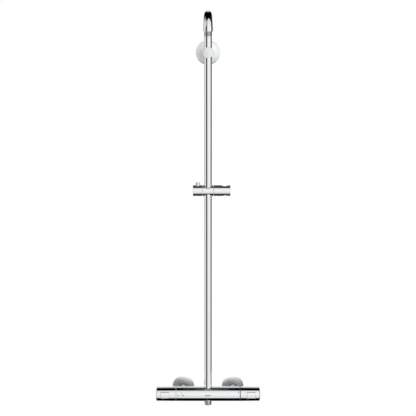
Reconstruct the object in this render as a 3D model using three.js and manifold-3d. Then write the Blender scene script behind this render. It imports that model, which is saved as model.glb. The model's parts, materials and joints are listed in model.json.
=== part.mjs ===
// A wall-mounted shower column: a thermostatic bar mixer, a riser tube, a sliding hand shower
// holder, a wall bracket and an overhead arm that swivels on the riser.
// Millimetres, +Z up, +Y into the wall. The origin is on the wall face, midway between the
// two water inlets, at their height.

import * as THREE from "three";
import { mergeVertices } from "three/addons/utils/BufferGeometryUtils.js";
import Module from "manifold-3d";

const wasm = await Module();
wasm.setup();

// ---- driving dimensions ----

const INLET_SPACING = 150; // between the two wall inlets, the usual plumbing centre distance
const WALL_TO_AXIS = 75; // wall face to the common axis of mixer and riser
const MIXER_RADIUS = 21.75;
const COVER_BORE = 19.2; // inside radius of the chromed casing and handle shells
const CASING_HALF = 94.7; // half length of the fixed casing between the handles
const HANDLE_START = 95.6; // distances out from the middle of the mixer
const HANDLE_END = 152.4;
const RISER_RADIUS = 11;
const TUBE_BORE = 10;
const BUSH_BORE = 11.25; // bushes that touch the riser
const RISER_FOOT = 12.4;
const RISER_TOP = 1055.7;
const ARM_FOOT = 1060.3; // lower end of the arm's tube, above the swivel ring
const BRACKET_HEIGHT = 1006;
const SLIDER_HEIGHT = 611; // rest height of the hand shower holder
const ARM_HEIGHT = 1102; // axis of the horizontal arm
const ARM_REACH = 350; // riser axis to the axis of the arm's outlet
const THREAD_RADIUS = 10.48; // outside of a G1/2 pipe thread
const THREAD_START_RADIUS = 9.7; // where the thread's end chamfer begins
const GAP = 0.3; // clearance between neighbouring pieces
const EASE = 0.4; // small broken corner on turned pieces
const SEAL_WIDTH = 2.8; // O-ring groove
const SEAL_FLOOR = 8.2;

const SIDES_LARGE = 24; // facets round the big turned pieces
const SIDES = 16;
const SIDES_SMALL = 12;

const FINISHES = {
  chrome: { color: 0xe2e5e8, roughness: 0.06, metalness: 1 },
  brass: { color: 0xb5924f, roughness: 0.35, metalness: 1 },
  steel: { color: 0xb4b8bc, roughness: 0.3, metalness: 1 },
  copper: { color: 0xb87348, roughness: 0.4, metalness: 1 },
  rubber: { color: 0x1d1d1f, roughness: 0.85, metalness: 0 },
  plastic: { color: 0xe6e6e2, roughness: 0.45, metalness: 0 },
  bushing: { color: 0x3b3d40, roughness: 0.5, metalness: 0 },
  ceramic: { color: 0xf3f1ea, roughness: 0.2, metalness: 0 },
};

// ---- helpers ----

// Makes a manifold solid from a closed three.js geometry, facing out.
function solid(geometry) {
  geometry.deleteAttribute("normal");
  geometry.deleteAttribute("uv");
  const merged = mergeVertices(geometry, 1e-4);
  const corners = merged.index.array;
  const outward = [];
  const inward = [];
  for (let i = 0; i < corners.length; i += 3) {
    const [a, b, c] = corners.slice(i, i + 3);
    if (a === b || b === c || c === a) continue;
    outward.push(a, b, c);
    inward.push(a, c, b);
  }
  const vertProperties = new Float32Array(merged.attributes.position.array);
  const make = (list) =>
    new wasm.Manifold(new wasm.Mesh({ numProp: 3, vertProperties, triVerts: new Uint32Array(list) }));
  const made = make(outward);
  return made.volume() > 0 ? made : make(inward);
}

// Turns a geometry built along Y or Z so that it runs along the named axis.
function lay(geometry, axis) {
  if (axis === "x") geometry.rotateZ(-Math.PI / 2);
  if (axis === "-x") geometry.rotateZ(Math.PI / 2);
  if (axis === "z") geometry.rotateX(Math.PI / 2);
  return geometry;
}

// A turned piece: the outline is a list of [distance along the axis, radius]. It starts and
// ends on the axis, or it closes on itself.
function turned(axis, outline, sides = SIDES) {
  const points = outline.map(([along, radius]) => new THREE.Vector2(radius, along));
  if (outline[0][1] > 0) points.push(points[0].clone());
  return solid(lay(new THREE.LatheGeometry(points, sides), axis));
}

function rod(axis, from, to, radius, sides = SIDES) {
  return turned(axis, [[from, 0], [from, radius], [to, radius], [to, 0]], sides);
}

function ring(axis, from, to, outer, inner, sides = SIDES) {
  return turned(axis, [[from, outer], [to, outer], [to, inner], [from, inner]], sides);
}

// A rectangle with round corners, cut out along -Y from y = start.
function roundedBlock(width, height, corner, start, depth) {
  const shape = new THREE.Shape();
  const across = width / 2 - corner;
  const up = height / 2 - corner;
  shape.absarc(across, up, corner, 0, Math.PI / 2);
  shape.absarc(-across, up, corner, Math.PI / 2, Math.PI);
  shape.absarc(-across, -up, corner, Math.PI, Math.PI * 1.5);
  shape.absarc(across, -up, corner, Math.PI * 1.5, Math.PI * 2);
  const block = new THREE.ExtrudeGeometry(shape, { depth, bevelEnabled: false, curveSegments: 3 });
  return solid(block.rotateX(Math.PI / 2)).translate([0, start, 0]);
}

// Part of a flat ring, standing along X, between two angles in degrees from the top, which
// count by the right-hand rule about +X.
function sector(outer, inner, from, to, start, depth) {
  const first = THREE.MathUtils.degToRad(from) + Math.PI;
  const last = THREE.MathUtils.degToRad(to) + Math.PI;
  const shape = new THREE.Shape();
  shape.absarc(0, 0, outer, first, last, false);
  shape.absarc(0, 0, inner, last, first, true);
  const steps = Math.max(2, Math.round((to - from) / 15));
  const block = new THREE.ExtrudeGeometry(shape, { depth, bevelEnabled: false, curveSegments: steps });
  return solid(block.rotateY(Math.PI / 2)).translate([start, 0, 0]);
}

// A path through chosen stations. The swept section stands square to it at each of them.
class Route extends THREE.Curve {
  constructor(stations) {
    super();
    this.stations = stations;
  }

  getPointAt(u) {
    const last = this.stations.length - 1;
    const before = Math.min(Math.floor(u * last), last - 1);
    return this.stations[before].clone().lerp(this.stations[before + 1], u * last - before);
  }

  getTangentAt(u) {
    const last = this.stations.length - 1;
    const here = Math.round(u * last);
    const ahead = this.stations[Math.min(here + 1, last)];
    const behind = this.stations[Math.max(here - 1, 0)];
    return ahead.clone().sub(behind).normalize();
  }
}

// The round bar that follows a route.
function sweptGeometry(route, radius, sides) {
  const section = new THREE.Shape().absarc(0, 0, radius, 0, Math.PI * 2);
  return new THREE.ExtrudeGeometry(section, {
    steps: route.stations.length - 1,
    curveSegments: sides / 2,
    extrudePath: route,
    bevelEnabled: false,
  });
}

function swept(route, radius, sides = SIDES) {
  return solid(sweptGeometry(route, radius, sides));
}

// A helical spring whose axis is Y or Z, between two ends that the wire stays inside.
function spring(axis, from, to, radius, wire, turns) {
  const perTurn = 8;
  const count = turns * perTurn;
  const low = Math.min(from, to) + wire;
  const rise = Math.abs(to - from) - wire * 2;
  const stations = [];
  for (let i = 0; i <= count; i += 1) {
    const angle = (i / perTurn) * Math.PI * 2;
    const along = low + (rise * i) / count;
    const a = radius * Math.cos(angle);
    const b = radius * Math.sin(angle);
    stations.push(axis === "z" ? new THREE.Vector3(a, b, along) : new THREE.Vector3(a, along, b));
  }
  return swept(new Route(stations), wire, 6);
}

// A thin domed cover plate on the wall. Heights count outwards from the wall face, and its
// crown is part of a sphere that passes through the edge and the neck.
function coverPlate(rim, edge, neck, height, hole, wallY) {
  const wall = 1.2;
  const steps = 4;
  const centre = (rim ** 2 + edge ** 2 - neck ** 2 - height ** 2) / (2 * (edge - height));
  const sphere = Math.hypot(rim, edge - centre);
  const onSphere = (size, radius) => centre + Math.sqrt(size ** 2 - radius ** 2);
  const outline = [[0, rim]];
  for (let i = 0; i <= steps; i += 1) {
    const radius = rim + ((neck - rim) * i) / steps;
    outline.push([onSphere(sphere, radius), radius]);
  }
  outline.push([height, hole]);
  for (let i = 0; i <= steps; i += 1) {
    const radius = hole + ((rim - wall - hole) * i) / steps;
    outline.push([Math.min(onSphere(sphere - wall, radius), height - wall), radius]);
  }
  outline.push([0, rim - wall]);
  const facing = outline.map(([out, radius]) => [wallY - GAP - out, radius]);
  return turned("y", facing, SIDES_LARGE);
}

// Adds a finished solid to a group as a named mesh.
function place(group, name, shape, finish) {
  const { vertProperties, triVerts } = shape.getMesh();
  const geometry = new THREE.BufferGeometry();
  geometry.setAttribute("position", new THREE.BufferAttribute(vertProperties, 3));
  geometry.setIndex(new THREE.BufferAttribute(triVerts, 1));
  geometry.computeVertexNormals();
  const mesh = new THREE.Mesh(geometry, new THREE.MeshStandardMaterial(FINISHES[finish]));
  mesh.name = name;
  group.add(mesh);
}

function groupAt(x, y, z) {
  const group = new THREE.Group();
  group.position.set(x, y, z);
  return group;
}

// ---- mixer: casing, valve body and hose outlet ----

const BODY_RADIUS = 18.8;
const BODY_NECK_RADIUS = 16.2; // threaded ends of the valve body
const BODY_END = 97;
const CARTRIDGE_SEAT = 14.2; // bore that takes a cartridge
const INLET_NECK_RADIUS = 13.2;
const INLET_NECK_END = 28;
const INLET_BORE = 9.5;
const PORT_RADIUS = 8.3;
const RISER_SEAT = 12; // floor of the riser's seat in the body
const HOSE_NECK_RADIUS = 9;

function buildMixer() {
  const mixer = groupAt(0, -WALL_TO_AXIS, 0);
  const inletX = INLET_SPACING / 2;
  const through = MIXER_RADIUS + 5; // a cutter this long reaches past the casing
  const risersHole = RISER_RADIUS + EASE;

  let casing = turned("x", [
    [-CASING_HALF, MIXER_RADIUS - EASE],
    [-CASING_HALF + EASE, MIXER_RADIUS],
    [CASING_HALF - EASE, MIXER_RADIUS],
    [CASING_HALF, MIXER_RADIUS - EASE],
    [CASING_HALF, COVER_BORE],
    [-CASING_HALF, COVER_BORE],
  ], SIDES_LARGE);
  for (const x of [-inletX, inletX]) {
    const hole = rod("y", 0, through, INLET_NECK_RADIUS + 2 * GAP);
    casing = casing.subtract(hole.translate([x, 0, 0]));
  }
  casing = casing.subtract(rod("z", 0, through, risersHole, SIDES_LARGE));
  casing = casing.subtract(rod("z", -through, 0, HOSE_NECK_RADIUS + 2 * GAP));
  place(mixer, "thermostat_casing", casing, "chrome");

  const bodyShoulder = 88.8;
  const neckRoot = 10;
  const inletBoreEnd = 8;
  const cartridgeSeatStart = 40;
  const crossBore = 8; // joins the two cartridge seats
  const hosePortEnd = -20;
  let body = turned("x", [
    [-BODY_END, 0],
    [-BODY_END, BODY_NECK_RADIUS],
    [-bodyShoulder, BODY_NECK_RADIUS],
    [-bodyShoulder, BODY_RADIUS],
    [bodyShoulder, BODY_RADIUS],
    [bodyShoulder, BODY_NECK_RADIUS],
    [BODY_END, BODY_NECK_RADIUS],
    [BODY_END, 0],
  ], SIDES_LARGE);
  for (const x of [-inletX, inletX]) {
    const neck = rod("y", neckRoot, INLET_NECK_END, INLET_NECK_RADIUS);
    body = body.add(neck.translate([x, 0, 0]));
  }
  for (const x of [-inletX, inletX]) {
    const inletBore = rod("y", inletBoreEnd, INLET_NECK_END + 1, INLET_BORE);
    body = body.subtract(inletBore.translate([x, 0, 0]));
    body = body.subtract(rod(x < 0 ? "-x" : "x", cartridgeSeatStart, BODY_END + 1, CARTRIDGE_SEAT));
  }
  body = body.subtract(rod("x", -cartridgeSeatStart - 1, cartridgeSeatStart + 1, crossBore));
  body = body.subtract(rod("z", hosePortEnd, RISER_SEAT + 1, PORT_RADIUS));
  body = body.subtract(rod("z", RISER_SEAT, BODY_RADIUS + 1, risersHole, SIDES_LARGE));
  place(mixer, "valve_body", body, "brass");

  // The hose outlet: a stub inside the body, a neck through the casing and a G1/2 thread.
  const stubTop = -10;
  const stubRadius = 8;
  const neckTop = -19.1;
  const threadTop = -23;
  const threadEnd = -33.8;
  const bore = 6;
  place(mixer, "hose_outlet_nipple", turned("z", [
    [stubTop, stubRadius],
    [neckTop, stubRadius],
    [neckTop, HOSE_NECK_RADIUS],
    [threadTop, HOSE_NECK_RADIUS],
    [threadTop, THREAD_RADIUS],
    [threadEnd + 2 * EASE, THREAD_RADIUS],
    [threadEnd, THREAD_START_RADIUS],
    [threadEnd, bore],
    [stubTop, bore],
  ]), "chrome");
  return mixer;
}

// ---- inlets: check valve, filter, union nut, wall union and cover plate ----

function buildInlet(side) {
  const word = side < 0 ? "left" : "right";
  const inlet = groupAt((side * INLET_SPACING) / 2, -WALL_TO_AXIS, 0);

  // A cartridge check valve with a seat lip at its wall end.
  const valveStart = 15;
  const valveEnd = 27.5;
  const valveRadius = INLET_BORE - GAP;
  const lip = 2;
  place(inlet, `${word}_check_valve`, turned("y", [
    [valveStart, valveRadius],
    [valveEnd, valveRadius],
    [valveEnd, 5],
    [valveEnd - lip, 5],
    [valveEnd - lip, 7],
    [valveStart, 7],
  ]), "plastic");

  const washerStart = INLET_NECK_END + GAP;
  const washerEnd = washerStart + 2;
  const collarRadius = 12.6;
  const washer = ring("y", washerStart, washerEnd, collarRadius, 8.5);
  place(inlet, `${word}_filter_washer`, washer, "rubber");

  const acrossFlats = 30;
  const nutStart = 22.6;
  const nutEnd = 37.5;
  const nutLip = 34; // the nut's inner lip pulls on the collar
  const cornerRadius = 17.4;
  const cornerChamfer = 1.3;
  const endRadius = 16;
  const tailRadius = 10.5;
  const hexagon = new THREE.CylinderGeometry(1, 1, nutEnd - nutStart, 6);
  hexagon.scale(acrossFlats / Math.sqrt(3), 1, acrossFlats / Math.sqrt(3));
  const nutBlank = solid(hexagon).translate([0, (nutStart + nutEnd) / 2, 0]);
  const nutCrown = turned("y", [
    [nutStart, 0],
    [nutStart, endRadius],
    [nutStart + cornerChamfer, cornerRadius],
    [nutEnd - cornerChamfer, cornerRadius],
    [nutEnd, endRadius],
    [nutEnd, 0],
  ], SIDES_LARGE);
  const nutBore = turned("y", [
    [nutStart - 1, 0],
    [nutStart - 1, INLET_NECK_RADIUS + EASE],
    [nutLip, INLET_NECK_RADIUS + EASE],
    [nutLip, tailRadius + EASE],
    [nutEnd + 1, tailRadius + EASE],
    [nutEnd + 1, 0],
  ]);
  const nut = nutBlank.intersect(nutCrown).subtract(nutBore);
  place(inlet, `${word}_union_nut`, nut, "chrome");

  // The wall union: a collar held by the nut, a tail, a drive shoulder and the wall thread.
  const collarStart = washerEnd + GAP;
  const shoulderStart = 60;
  const shoulderEnd = 66;
  const unionEnd = 89;
  const unionBore = 7.5;
  place(inlet, `${word}_wall_union`, turned("y", [
    [collarStart, collarRadius],
    [nutLip - GAP, collarRadius],
    [nutLip - GAP, tailRadius],
    [shoulderStart, tailRadius],
    [shoulderStart, 11.8],
    [shoulderEnd, 11.8],
    [shoulderEnd, 10.2],
    [unionEnd, 10.2],
    [unionEnd, unionBore],
    [collarStart, unionBore],
  ]), "chrome");

  const plate = coverPlate(32.8, 3.8, 14, 19, 11.2, WALL_TO_AXIS);
  place(inlet, `${word}_inlet_escutcheon`, plate, "chrome");
  return inlet;
}

// ---- handles: cartridge, nut, stop ring, spindle, carrier, shell, cap, screw and button ----

const CARRIER_START = 108;
const CARRIER_END = 148;
const CARTRIDGE_START = 45;
const FLANGE_END = 100; // outer face of the cartridge's flange
const NUT_START = 89.2;
const NUT_END = 103.3;
const SPINDLE_RADIUS = 5;
const SPINDLE_END = 122;
const SCREW_HEAD = 126.3; // seat of the screw's head in the carrier
const BUTTON_CENTRE = 128.3;
const BUTTON_WIDTH = 25;
const BUTTON_HEIGHT = 20;
const BUTTON_CORNER = 2.5;
const BUTTON_FACE_RADIUS = 22.6; // the button's face, a little proud of the shell
const BUTTON_BACK = -13.6; // at rest
const BUTTON_FLOOR = -9; // bottom of the button's pocket
const STOP_TOOTH_HALF_ANGLE = 5;

// stopRange is how far the handle turns about +X, in degrees; spindleStart is the spindle's
// inner end.
function buildHandle(side, word, stopRange, spindleStart) {
  const handle = groupAt(0, -WALL_TO_AXIS, 0);
  const out = side < 0 ? "-x" : "x";
  const outwards = (near, far) => (side < 0 ? -far : near);

  // Cartridge with windows for the water that comes in from the wall.
  const cartridgeRadius = CARTRIDGE_SEAT - GAP;
  const chamberEnd = 85;
  const chamberRadius = 9;
  const outletX = 66;
  let cartridge = turned(out, [
    [CARTRIDGE_START, cartridgeRadius],
    [BODY_END + GAP, cartridgeRadius],
    [BODY_END + GAP, 16],
    [FLANGE_END, 16],
    [FLANGE_END, SPINDLE_RADIUS + EASE],
    [chamberEnd, SPINDLE_RADIUS + EASE],
    [chamberEnd, chamberRadius],
    [CARTRIDGE_START, chamberRadius],
  ]);
  const inletWindow = rod("y", 0, 15, 6).translate([(side * INLET_SPACING) / 2, 0, 0]);
  const outletWindow = rod("z", -15, 15, 3).translate([side * outletX, 0, 0]);
  cartridge = cartridge.subtract(inletWindow).subtract(outletWindow);
  place(handle, `${word}_cartridge`, cartridge, "bushing");

  place(handle, `${word}_cartridge_nut`, turned(out, [
    [NUT_START, BODY_RADIUS],
    [NUT_END, BODY_RADIUS],
    [NUT_END, 9.5],
    [FLANGE_END + GAP, 9.5],
    [FLANGE_END + GAP, BODY_NECK_RADIUS + EASE],
    [NUT_START, BODY_NECK_RADIUS + EASE],
  ]), "brass");

  // The stop ring's tooth runs in an arc groove in the back of the carrier.
  const toothOuter = 17;
  const toothInner = 12.5;
  const toothReach = 110.4;
  const ringEnd = 107;
  const tooth = sector(
    toothOuter, toothInner, -STOP_TOOTH_HALF_ANGLE, STOP_TOOTH_HALF_ANGLE,
    outwards(ringEnd - 1, toothReach), toothReach - ringEnd + 1,
  );
  const stopRing = ring(out, NUT_END + GAP, ringEnd, toothOuter + 0.5, 9.8).add(tooth);
  place(handle, `${word}_stop_ring`, stopRing, "plastic");

  const screwRadius = 2.1;
  const screwHole = screwRadius + GAP;
  const spindle = rod(out, spindleStart, SPINDLE_END, SPINDLE_RADIUS, SIDES_SMALL)
    .subtract(rod(out, 110, SPINDLE_END + 1, screwHole, SIDES_SMALL));
  place(handle, `${word}_spindle`, spindle, "brass");

  const play = STOP_TOOTH_HALF_ANGLE + 2;
  const groove = sector(
    toothOuter + EASE, toothInner - EASE, -stopRange[1] - play, -stopRange[0] + play,
    outwards(CARRIER_START - 1, toothReach + EASE), toothReach + EASE + 1 - CARRIER_START,
  );
  const headRadius = 4.6;
  const carrierRadius = COVER_BORE - GAP;
  const pocket = roundedBlock(
    BUTTON_WIDTH + 2.6, BUTTON_HEIGHT + 2.8, BUTTON_CORNER, BUTTON_FLOOR, MIXER_RADIUS,
  );
  const spindleHole = rod(
    out, CARRIER_START - 1, SPINDLE_END + GAP, SPINDLE_RADIUS + EASE, SIDES_SMALL,
  );
  let carrier = rod(out, CARRIER_START, CARRIER_END, carrierRadius, SIDES_LARGE);
  carrier = carrier.subtract(spindleHole);
  carrier = carrier.subtract(rod(out, SPINDLE_END, SCREW_HEAD, screwHole, SIDES_SMALL));
  carrier = carrier.subtract(
    rod(out, SCREW_HEAD - GAP, CARRIER_END + 1, headRadius + 2 * GAP, SIDES_SMALL),
  );
  carrier = carrier.subtract(groove);
  carrier = carrier.subtract(pocket.translate([side * BUTTON_CENTRE, 0, 0]));
  place(handle, `${word}_carrier`, carrier, "plastic");

  const window = roundedBlock(
    BUTTON_WIDTH + 2 * GAP, BUTTON_HEIGHT + 2 * GAP, BUTTON_CORNER + GAP,
    BUTTON_FLOOR, MIXER_RADIUS,
  );
  const shell = turned(out, [
    [HANDLE_START, MIXER_RADIUS - EASE],
    [HANDLE_START + EASE, MIXER_RADIUS],
    [HANDLE_END, 21.2],
    [HANDLE_END, COVER_BORE],
    [HANDLE_START, COVER_BORE],
  ], SIDES_LARGE).subtract(window.translate([side * BUTTON_CENTRE, 0, 0]));
  place(handle, `${word}_handle`, shell, "chrome");

  // The end cap: a plug inside the shell and a shallow crown.
  const crownSteps = 5;
  const crownRadius = 21.1;
  const crownRise = 3.5;
  const plugRadius = 18.8;
  const plugStart = CARRIER_END + GAP;
  const cap = [[plugStart, 0], [plugStart, plugRadius], [HANDLE_END + GAP, plugRadius]];
  for (let i = 0; i <= crownSteps; i += 1) {
    const angle = (Math.PI / 2) * (i / crownSteps);
    cap.push([HANDLE_END + GAP + crownRise * Math.sin(angle), crownRadius * Math.cos(angle)]);
  }
  cap[cap.length - 1][1] = 0;
  place(handle, `${word}_cap`, turned(out, cap, SIDES_LARGE), "chrome");

  const screwStart = 112;
  const screwEnd = 129.5;
  place(handle, `${word}_screw`, turned(out, [
    [screwStart, 0],
    [screwStart, screwRadius],
    [SCREW_HEAD, screwRadius],
    [SCREW_HEAD, headRadius],
    [screwEnd, headRadius],
    [screwEnd, 0],
  ], SIDES_SMALL), "steel");

  // The button fills the shell's window; its flange stays behind the shell.
  const flange = roundedBlock(BUTTON_WIDTH + 2, BUTTON_HEIGHT + 2, BUTTON_CORNER - GAP, BUTTON_BACK, 1.8);
  const face = rod("x", -BUTTON_WIDTH, BUTTON_WIDTH, BUTTON_FACE_RADIUS, 48);
  const button = roundedBlock(BUTTON_WIDTH, BUTTON_HEIGHT, BUTTON_CORNER, BUTTON_BACK, 10)
    .intersect(face).add(flange);
  place(handle, `${word}_stop_button`, button.translate([side * BUTTON_CENTRE, 0, 0]), "chrome");

  const coil = spring("y", BUTTON_FLOOR - GAP, BUTTON_BACK + GAP, 4, 0.5, 3);
  place(handle, `${word}_button_spring`, coil.translate([side * BUTTON_CENTRE, 0, 0]), "steel");
  return handle;
}

// What turns or slides inside the two cartridges.
function buildValveInternals() {
  const internals = groupAt(0, -WALL_TO_AXIS, 0);
  const slideRadius = 8.6; // runs in the cartridge's chamber
  const headStart = 50;
  const headEnd = 60;
  const stemRadius = 5;
  const stemEnd = 80;
  place(internals, "mixing_piston", turned("-x", [
    [headStart, 0],
    [headStart, slideRadius],
    [headEnd, slideRadius],
    [headEnd, stemRadius],
    [stemEnd, stemRadius],
    [stemEnd, 0],
  ], SIDES_SMALL), "copper");

  const discStart = 62;
  const discEnd = 65.6;
  const port = 5.4; // from the axis to each port
  let disc = rod("x", discStart, discEnd, slideRadius, SIDES_SMALL);
  for (const z of [-port, port]) {
    const hole = rod("x", discStart - 1, discEnd + 1, 2.2, SIDES_SMALL);
    disc = disc.subtract(hole.translate([0, 0, z]));
  }
  place(internals, "flow_disc", disc, "ceramic");
  return internals;
}

// ---- riser ----

const O_RING_OUTER = 9.8;
const O_RING_INNER = 8.5;

function oRing(height) {
  const middle = (O_RING_OUTER + O_RING_INNER) / 2;
  const thick = (O_RING_OUTER - O_RING_INNER) / 2;
  const outline = [];
  const corners = 5;
  for (let i = 0; i < corners; i += 1) {
    const angle = (i / corners) * Math.PI * 2;
    outline.push([height + thick * Math.sin(angle), middle + thick * Math.cos(angle)]);
  }
  return turned("z", outline);
}

function buildRiser() {
  const riser = groupAt(0, -WALL_TO_AXIS, 0);
  const spigotFoot = 7;
  const spigotTop = 40;
  const spigotRadius = 9.6;
  const spigotBore = 6.5;
  const footRadius = 7.9; // the part that screws into the body
  const ringHeight = 29.5;
  place(riser, "riser_spigot", turned("z", [
    [spigotFoot, footRadius],
    [RISER_SEAT + GAP, footRadius],
    [RISER_SEAT + GAP, spigotRadius],
    [ringHeight - SEAL_WIDTH / 2, spigotRadius],
    [ringHeight - SEAL_WIDTH / 2, SEAL_FLOOR],
    [ringHeight + SEAL_WIDTH / 2, SEAL_FLOOR],
    [ringHeight + SEAL_WIDTH / 2, spigotRadius],
    [spigotTop, spigotRadius],
    [spigotTop, spigotBore],
    [spigotFoot, spigotBore],
  ]), "brass");
  place(riser, "riser_o_ring", oRing(ringHeight), "rubber");
  const tube = ring("z", RISER_FOOT, RISER_TOP, RISER_RADIUS, TUBE_BORE, SIDES_LARGE);
  place(riser, "riser_tube", tube, "chrome");
  const collar = ring("z", RISER_TOP + GAP, ARM_FOOT - GAP, 11.6, 10.1, SIDES_LARGE);
  place(riser, "swivel_ring", collar, "bushing");
  return riser;
}

// ---- overhead arm ----

function buildArm() {
  const arm = groupAt(0, -WALL_TO_AXIS, 0);
  const elbowLead = 2; // straight part of the elbow before its bend
  const rearBend = 36;
  const frontBend = 38;
  const frontStart = -(ARM_REACH - frontBend);
  const bendSteps = 6;

  const tubeStations = [new THREE.Vector3(0, 0, ARM_FOOT)];
  for (let i = 0; i <= bendSteps; i += 1) {
    const angle = (Math.PI / 2) * (i / bendSteps);
    tubeStations.push(new THREE.Vector3(
      0,
      -rearBend * (1 - Math.cos(angle)),
      ARM_HEIGHT - rearBend * (1 - Math.sin(angle)),
    ));
  }
  tubeStations.push(new THREE.Vector3(0, frontStart + elbowLead + GAP, ARM_HEIGHT));
  const longer = tubeStations.map((station) => station.clone());
  longer[0].z -= 1;
  longer[longer.length - 1].y -= 1;
  const tube = swept(new Route(tubeStations), RISER_RADIUS)
    .subtract(swept(new Route(longer), TUBE_BORE));
  place(arm, "arm_tube", tube, "chrome");

  // The cast elbow: a spigot in the tube, then a bend that grows wider towards its mouth.
  const mouthRadius = 12.35;
  const mouth = 1060;
  const flareTop = 1098;
  const centre = new THREE.Vector3(0, frontStart, ARM_HEIGHT - frontBend);
  const elbowStations = [new THREE.Vector3(0, frontStart + elbowLead, ARM_HEIGHT)];
  for (let i = 0; i <= bendSteps; i += 1) {
    const angle = (Math.PI / 2) * (i / bendSteps);
    elbowStations.push(new THREE.Vector3(
      0,
      centre.y - frontBend * Math.sin(angle),
      centre.z + frontBend * Math.cos(angle),
    ));
  }
  elbowStations.push(new THREE.Vector3(0, -ARM_REACH, mouth));
  const elbowRoute = new Route(elbowStations);
  const outside = sweptGeometry(elbowRoute, RISER_RADIUS, SIDES);
  const corner = new THREE.Vector3();
  const middle = new THREE.Vector3();
  const position = outside.attributes.position;
  for (let i = 0; i < position.count; i += 1) {
    corner.fromBufferAttribute(position, i);
    const turn = Math.atan2(corner.z - centre.z, centre.y - corner.y);
    if (turn > 0) {
      middle.set(0, centre.y - frontBend * Math.cos(turn), centre.z + frontBend * Math.sin(turn));
    } else {
      middle.set(0, -ARM_REACH, corner.z);
    }
    const grown = THREE.MathUtils.clamp((flareTop - middle.z) / (flareTop - centre.z), 0, 1);
    const radius = RISER_RADIUS + (mouthRadius - RISER_RADIUS) * grown;
    corner.sub(middle).multiplyScalar(radius / RISER_RADIUS).add(middle);
    position.setXYZ(i, corner.x, corner.y, corner.z);
  }
  const through = elbowStations.map((station) => station.clone());
  through[0].y += elbowLead / 4;
  through[through.length - 1].z -= 1;
  const spigotEnd = frontStart + 16;
  const spigotRadius = TUBE_BORE - GAP;
  const nippleTop = 1068.6;
  const nippleRadius = 9.6;
  const elbow = solid(outside)
    .add(rod("y", frontStart + 1, spigotEnd, spigotRadius).translate([0, 0, ARM_HEIGHT]))
    .subtract(rod("y", frontStart, spigotEnd + 1, 8).translate([0, 0, ARM_HEIGHT]))
    .subtract(swept(new Route(through), 8.5))
    .subtract(rod("z", mouth - 1, nippleTop + EASE, nippleRadius + GAP)
      .translate([0, -ARM_REACH, 0]));
  place(arm, "arm_outlet_elbow", elbow, "chrome");

  const nippleEnd = 1048.4;
  const nippleBore = 7.5;
  place(arm, "arm_outlet_nipple", turned("z", [
    [nippleTop, nippleRadius],
    [mouth - GAP, nippleRadius],
    [mouth - GAP, THREAD_RADIUS],
    [nippleEnd + 2 * EASE, THREAD_RADIUS],
    [nippleEnd, THREAD_START_RADIUS],
    [nippleEnd, nippleBore],
    [nippleTop, nippleBore],
  ]).translate([0, -ARM_REACH, 0]), "chrome");

  // The plug on which the arm turns, inside the top of the riser.
  const plugFoot = 1020;
  const plugTop = 1065;
  const plugBore = 7;
  const ringHeight = 1040;
  place(arm, "arm_swivel_plug", turned("z", [
    [plugFoot, spigotRadius],
    [ringHeight - SEAL_WIDTH / 2, spigotRadius],
    [ringHeight - SEAL_WIDTH / 2, SEAL_FLOOR],
    [ringHeight + SEAL_WIDTH / 2, SEAL_FLOOR],
    [ringHeight + SEAL_WIDTH / 2, spigotRadius],
    [plugTop, spigotRadius],
    [plugTop, plugBore],
    [plugFoot, plugBore],
  ]), "brass");
  place(arm, "arm_o_ring", oRing(ringHeight), "rubber");
  return arm;
}

// ---- wall bracket ----

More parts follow.
